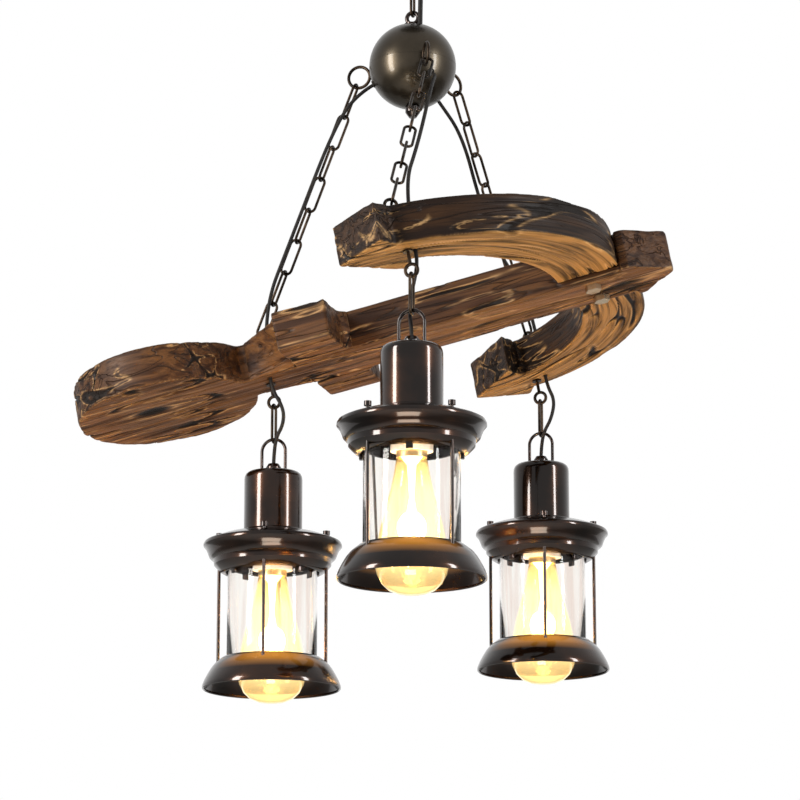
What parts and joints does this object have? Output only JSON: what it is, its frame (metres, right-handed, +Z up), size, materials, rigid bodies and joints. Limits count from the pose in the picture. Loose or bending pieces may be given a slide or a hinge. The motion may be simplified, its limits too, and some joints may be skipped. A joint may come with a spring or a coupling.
{
  "type": "anchor chandelier",
  "caption": "Anchor-shaped wooden chandelier hung on chains from a metal ball, with clear-glass lantern pendants under its arms and shank, each on a swinging link and bail.",
  "frame": {"origin": "centre of the ceiling bracket's screw pattern, on the ceiling plane, above the hanging ball", "axes": "+Z up; +X in plan along the anchor's shank from its disc to its crown; +Y to the far arm"},
  "size_m": [0.5788, 0.5477, 0.79],
  "materials": {
    "wood": "satin",
    "dark_metal": "satin",
    "chain_metal": "satin",
    "steel": "satin",
    "cord": "matt",
    "clear_glass": "gloss",
    "bulb_glass": "gloss",
    "filament": "gloss",
    "bulb_cap": "satin",
    "holder": "satin",
    "block": "satin"
  },
  "bodies": {
    "ceiling": {"ceiling_bracket": "steel", "canopy": "dark_metal", "canopy_screws": "dark_metal", "ceiling_loop": "dark_metal"},
    "top_chain": {"top_chain": "chain_metal", "mains_cord": "cord"},
    "anchor_frame": {"ball_upper_shell": "dark_metal", "ball_lower_shell": "dark_metal", "ball_hanger_rod": "dark_metal", "ball_finial": "dark_metal", "ball_loops": "dark_metal", "terminal_block": "block", "suspension_chains": "chain_metal", "suspension_cords": "cord", "shank_board": "wood", "stock_bars": "wood", "near_arm": "wood", "far_arm": "wood", "crown_bolts": "dark_metal", "screw_eyes": "dark_metal"},
    "link_ring": {"lantern_link_ring": "chain_metal", "lantern_cord_ring": "cord"},
    "lantern_ring": {"bail_ring": "dark_metal", "cord_gland_ring": "dark_metal", "lampholder_cup_ring": "dark_metal", "lampholder_ring": "holder", "lantern_cap_ring": "dark_metal", "glass_chimney_ring": "clear_glass", "guard_rods_ring": "dark_metal", "base_skirt_ring": "dark_metal"},
    "bulb_ring": {"bulb_cap_ring": "bulb_cap", "bulb_glass_ring": "bulb_glass", "bulb_filament_ring": "filament"},
    "link_near": {"lantern_link_near": "chain_metal", "lantern_cord_near": "cord"},
    "lantern_near": {"bail_near": "dark_metal", "cord_gland_near": "dark_metal", "lampholder_cup_near": "dark_metal", "lampholder_near": "holder", "lantern_cap_near": "dark_metal", "glass_chimney_near": "clear_glass", "guard_rods_near": "dark_metal", "base_skirt_near": "dark_metal"},
    "bulb_near": {"bulb_cap_near": "bulb_cap", "bulb_glass_near": "bulb_glass", "bulb_filament_near": "filament"},
    "link_far": {"lantern_link_far": "chain_metal", "lantern_cord_far": "cord"},
    "lantern_far": {"bail_far": "dark_metal", "cord_gland_far": "dark_metal", "lampholder_cup_far": "dark_metal", "lampholder_far": "holder", "lantern_cap_far": "dark_metal", "glass_chimney_far": "clear_glass", "guard_rods_far": "dark_metal", "base_skirt_far": "dark_metal"},
    "bulb_far": {"bulb_cap_far": "bulb_cap", "bulb_glass_far": "bulb_glass", "bulb_filament_far": "filament"}
  },
  "joints": [
    {"name": "ceiling_swing", "type": "hinge", "parent": "ceiling", "child": "top_chain", "pos_m": [0, 0, -0.045], "axis": [1, 0, 0], "range_deg": [-8, 8], "deforming": ["mains_cord"]},
    {"name": "ball_swing", "type": "hinge", "parent": "top_chain", "child": "anchor_frame", "pos_m": [0, 0, -0.13955], "axis": [0, 1, 0], "range_deg": [-8, 8], "deforming": ["mains_cord"]},
    {"name": "link_swing_ring", "type": "hinge", "parent": "anchor_frame", "child": "link_ring", "pos_m": [-0.13507, -0.00075, -0.51303], "axis": [1, 0, 0], "range_deg": [-15, 15], "deforming": ["lantern_cord_ring"]},
    {"name": "lantern_swing_ring", "type": "hinge", "parent": "link_ring", "child": "lantern_ring", "pos_m": [-0.13507, -0.00075, -0.54608], "axis": [0, 1, 0], "range_deg": [-15, 15], "deforming": ["lantern_cord_ring"]},
    {"name": "bulb_slide_ring", "type": "slide", "parent": "lantern_ring", "child": "bulb_ring", "axis": [0, 0, -1], "range_m": [0, 0.13]},
    {"name": "link_swing_near", "type": "hinge", "parent": "anchor_frame", "child": "link_near", "pos_m": [0.06165, -0.21039, -0.45834], "axis": [1, 0, 0], "range_deg": [-15, 15], "deforming": ["lantern_cord_near"]},
    {"name": "lantern_swing_near", "type": "hinge", "parent": "link_near", "child": "lantern_near", "pos_m": [0.06165, -0.21039, -0.49139], "axis": [0, 1, 0], "range_deg": [-15, 15], "deforming": ["lantern_cord_near"]},
    {"name": "bulb_slide_near", "type": "slide", "parent": "lantern_near", "child": "bulb_near", "axis": [0, 0, -1], "range_m": [0, 0.13]},
    {"name": "link_swing_far", "type": "hinge", "parent": "anchor_frame", "child": "link_far", "pos_m": [0.06798, 0.20935, -0.47425], "axis": [1, 0, 0], "range_deg": [-15, 15], "deforming": ["lantern_cord_far"]},
    {"name": "lantern_swing_far", "type": "hinge", "parent": "link_far", "child": "lantern_far", "pos_m": [0.06798, 0.20935, -0.5073], "axis": [0, 1, 0], "range_deg": [-15, 15], "deforming": ["lantern_cord_far"]},
    {"name": "bulb_slide_far", "type": "slide", "parent": "lantern_far", "child": "bulb_far", "axis": [0, 0, -1], "range_m": [0, 0.13]}
  ]
}
